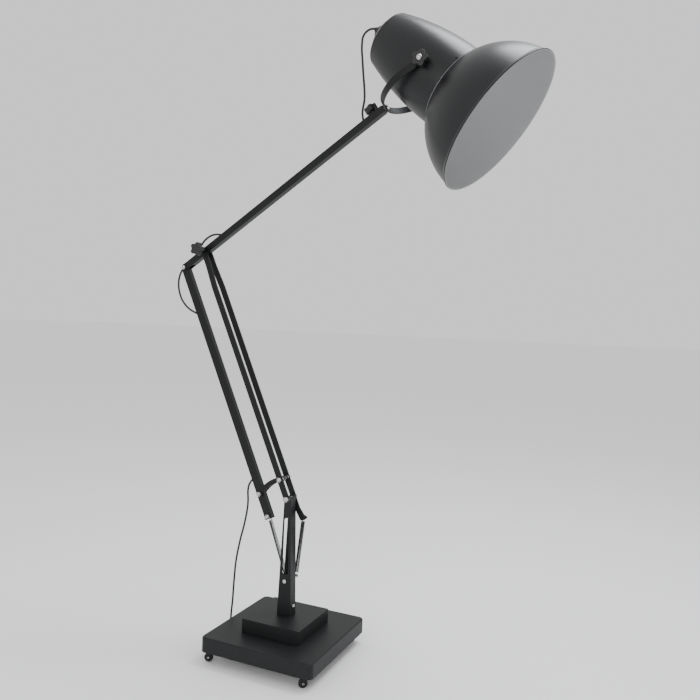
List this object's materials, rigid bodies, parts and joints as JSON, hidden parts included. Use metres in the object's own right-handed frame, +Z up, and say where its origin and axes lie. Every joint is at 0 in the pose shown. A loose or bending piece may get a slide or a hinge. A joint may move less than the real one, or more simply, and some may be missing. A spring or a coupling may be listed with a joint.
{
  "type": "adjustable arm floor lamp",
  "caption": "Floor lamp with a sprung parallelogram arm, an elbow, a swivelling yoke and tilting metal shade, on a square weighted base with castors.",
  "frame": {"origin": "on the floor under the centre of the square base", "axes": "+Z up, +X towards the lamp head in the arm's plane, +Y across the lamp"},
  "size_m": [1.1104, 0.504, 1.7851],
  "materials": {
    "base_paint": "satin powder coat",
    "cast_ballast": "rough cast",
    "zinc_fasteners": "bright zinc plate",
    "arm_paint": "satin powder coat",
    "black_rubber": "matt",
    "knob_plastic": "fine moulded",
    "shade_paint": "satin black paint outside, pale grey inside",
    "bulb_glass": "opal",
    "caster_metal": "satin",
    "wheel_rubber": "matt",
    "spring_steel": "dark oiled wire",
    "cord_rubber": "satin",
    "plug_brass": "nickel-plated"
  },
  "bodies": {
    "base": {"base_cover": "base_paint", "ballast_plate": "cast_ballast", "base_bolts": "zinc_fasteners", "caster_stems": "zinc_fasteners", "plinth": "base_paint", "mast": "base_paint", "mast_foot": "base_paint", "mast_fasteners": "zinc_fasteners", "shoulder_bolt": "zinc_fasteners", "cord_lead": "cord_rubber", "cord_coil": "cord_rubber", "plug_body": "cord_rubber", "plug_pins": "plug_brass"},
    "lower_arm": {"near_bar": "arm_paint", "far_bar": "arm_paint", "bar_spacers": "zinc_fasteners", "crank_bolts": "zinc_fasteners", "elbow_bolt": "zinc_fasteners"},
    "crank": {"crank_straps": "arm_paint", "crank_pin": "zinc_fasteners"},
    "rod": {"push_rod": "arm_paint", "rod_spring_pin": "zinc_fasteners", "rod_grommets": "black_rubber", "cord_side": "cord_rubber"},
    "upper_arm": {"upper_arm": "arm_paint", "tail_bolt": "zinc_fasteners", "arm_end_plug": "arm_paint", "arm_grommets": "black_rubber", "cord_elbow": "cord_rubber"},
    "elbow_knob": {"elbow_knob": "knob_plastic"},
    "arm_knob": {"arm_knob": "knob_plastic"},
    "shade_knob_near": {"shade_knob_near": "knob_plastic"},
    "shade_knob_far": {"shade_knob_far": "knob_plastic"},
    "yoke": {"yoke": "arm_paint", "yoke_stud": "zinc_fasteners"},
    "shade": {"rear_housing": "shade_paint", "bell": "shade_paint", "shade_rivets": "shade_paint", "rear_cap": "knob_plastic", "cable_gland": "black_rubber", "lamp_holder": "knob_plastic", "bulb": "bulb_glass", "pivot_studs": "zinc_fasteners", "pivot_bushes": "black_rubber", "cord_head": "cord_rubber"},
    "spring_right_foot": {"spring_right_lower": "spring_steel"},
    "spring_right_head": {"spring_right_upper": "spring_steel"},
    "spring_left_a": {"spring_left_eye": "spring_steel"},
    "spring_left_b": {"spring_left_lower": "spring_steel"},
    "spring_left_c": {"spring_left_upper": "spring_steel"},
    "spring_left_d": {"spring_left_hook": "spring_steel"},
    "caster_front_left": {"fork_front_left": "caster_metal"},
    "wheel_front_left": {"wheel_front_left": "wheel_rubber"},
    "caster_front_right": {"fork_front_right": "caster_metal"},
    "wheel_front_right": {"wheel_front_right": "wheel_rubber"},
    "caster_rear_left": {"fork_rear_left": "caster_metal"},
    "wheel_rear_left": {"wheel_rear_left": "wheel_rubber"},
    "caster_rear_right": {"fork_rear_right": "caster_metal"},
    "wheel_rear_right": {"wheel_rear_right": "wheel_rubber"}
  },
  "joints": [
    {"name": "shoulder", "type": "hinge", "parent": "base", "child": "lower_arm", "pos_m": [0, 0, 0.454], "axis": [0, 1, 0], "range_deg": [-15, 25], "deforming": ["cord_lead"]},
    {"name": "elbow", "type": "hinge", "parent": "lower_arm", "child": "upper_arm", "pos_m": [-0.31972, 0, 1.16875], "axis": [0, 1, 0], "range_deg": [-20, 45]},
    {"name": "crank_pivot", "type": "hinge", "parent": "lower_arm", "child": "crank", "pos_m": [-0.02409, 0, 0.50786], "axis": [0, 1, 0], "range_deg": [-21, 46]},
    {"name": "rod_pivot", "type": "hinge", "parent": "crank", "child": "rod", "pos_m": [-0.09584, 0, 0.45506], "axis": [0, 1, 0], "range_deg": [-46, 21]},
    {"name": "arm_swivel", "type": "hinge", "parent": "upper_arm", "child": "yoke", "pos_m": [0.24597, 0, 1.5443], "axis": [0.83, 0, 0.5577], "range_deg": [-90, 90]},
    {"name": "shade_tilt", "type": "hinge", "parent": "yoke", "child": "shade", "pos_m": [0.38664, 0, 1.62114], "axis": [0, 1, 0], "range_deg": [-20, 50], "deforming": ["cord_head"]},
    {"name": "elbow_knob_turn", "type": "hinge", "parent": "lower_arm", "child": "elbow_knob", "pos_m": [-0.31972, -0.037, 1.16875], "axis": [0, -1, 0], "range_deg": [-30, 720]},
    {"name": "arm_knob_turn", "type": "hinge", "parent": "upper_arm", "child": "arm_knob", "pos_m": [0.22024, 0, 1.52701], "axis": [-0.5577, 0, 0.83], "range_deg": [-30, 720]},
    {"name": "near_knob_turn", "type": "hinge", "parent": "shade", "child": "shade_knob_near", "pos_m": [0.38664, -0.12, 1.62114], "axis": [0, -1, 0], "range_deg": [-30, 720]},
    {"name": "far_knob_turn", "type": "hinge", "parent": "shade", "child": "shade_knob_far", "pos_m": [0.38664, 0.12, 1.62114], "axis": [0, 1, 0], "range_deg": [-30, 720]},
    {"name": "right_spring_swing", "type": "hinge", "parent": "base", "child": "spring_right_foot", "pos_m": [0.013, 0.0275, 0.218], "axis": [0, 1, 0], "range_deg": [-9, 6], "deforming": ["spring_right_lower"]},
    {"name": "right_spring_stretch", "type": "slide", "parent": "spring_right_foot", "child": "spring_right_head", "axis": [0.106, 0, 0.9944], "range_m": [-0.016, 0.011], "deforming": ["spring_right_upper"]},
    {"name": "left_spring_swing", "type": "hinge", "parent": "base", "child": "spring_left_a", "pos_m": [0, 0, 0.214], "axis": [0, 1, 0], "range_deg": [-4, 3], "deforming": ["spring_left_eye"]},
    {"name": "left_spring_lean", "type": "hinge", "parent": "spring_left_a", "child": "spring_left_b", "pos_m": [0, 0, 0.214], "axis": [0, 1, 0], "range_deg": [-3, 2], "deforming": ["spring_left_lower"]},
    {"name": "left_spring_stretch", "type": "slide", "parent": "spring_left_b", "child": "spring_left_c", "axis": [-0.3549, 0, 0.9349], "range_m": [-0.03, 0.045], "deforming": ["spring_left_upper"]},
    {"name": "left_spring_draw", "type": "slide", "parent": "spring_left_c", "child": "spring_left_d", "axis": [-0.3549, 0, 0.9349], "range_m": [-0.035, 0.075], "deforming": ["spring_left_hook"]},
    {"name": "front_left_swivel", "type": "hinge", "parent": "base", "child": "caster_front_left", "pos_m": [-0.15, -0.15, 0.03], "axis": [0, 0, 1], "continuous": true},
    {"name": "front_left_roll", "type": "hinge", "parent": "caster_front_left", "child": "wheel_front_left", "pos_m": [-0.15846, -0.15308, 0.0125], "axis": [0.342, -0.9397, 0], "continuous": true},
    {"name": "front_right_swivel", "type": "hinge", "parent": "base", "child": "caster_front_right", "pos_m": [0.15, -0.15, 0.03], "axis": [0, 0, 1], "continuous": true},
    {"name": "front_right_roll", "type": "hinge", "parent": "caster_front_right", "child": "wheel_front_right", "pos_m": [0.14263, -0.15516, 0.0125], "axis": [0.5736, -0.8192, 0], "continuous": true},
    {"name": "rear_left_swivel", "type": "hinge", "parent": "base", "child": "caster_rear_left", "pos_m": [-0.15, 0.15, 0.03], "axis": [0, 0, 1], "continuous": true},
    {"name": "rear_left_roll", "type": "hinge", "parent": "caster_rear_left", "child": "wheel_rear_left", "pos_m": [-0.15779, 0.1545, 0.0125], "axis": [-0.5, -0.866, 0], "continuous": true},
    {"name": "rear_right_swivel", "type": "hinge", "parent": "base", "child": "caster_rear_right", "pos_m": [0.15, 0.15, 0.03], "axis": [0, 0, 1], "continuous": true},
    {"name": "rear_right_roll", "type": "hinge", "parent": "caster_rear_right", "child": "wheel_rear_right", "pos_m": [0.14154, 0.15308, 0.0125], "axis": [-0.342, -0.9397, 0], "continuous": true}
  ],
  "couplings": [
    {"joint": "crank_pivot", "follows": "elbow", "ratio": 1},
    {"joint": "rod_pivot", "follows": "elbow", "ratio": -1},
    {"joint": "right_spring_swing", "follows": "shoulder", "ratio": -0.33},
    {"joint": "right_spring_stretch", "follows": "shoulder", "m_per_rad": -0.03},
    {"joint": "left_spring_swing", "follows": "shoulder", "ratio": -0.13},
    {"joint": "left_spring_lean", "follows": "elbow", "ratio": -0.05},
    {"joint": "left_spring_stretch", "follows": "shoulder", "m_per_rad": 0.086},
    {"joint": "left_spring_draw", "follows": "elbow", "m_per_rad": 0.083}
  ]
}
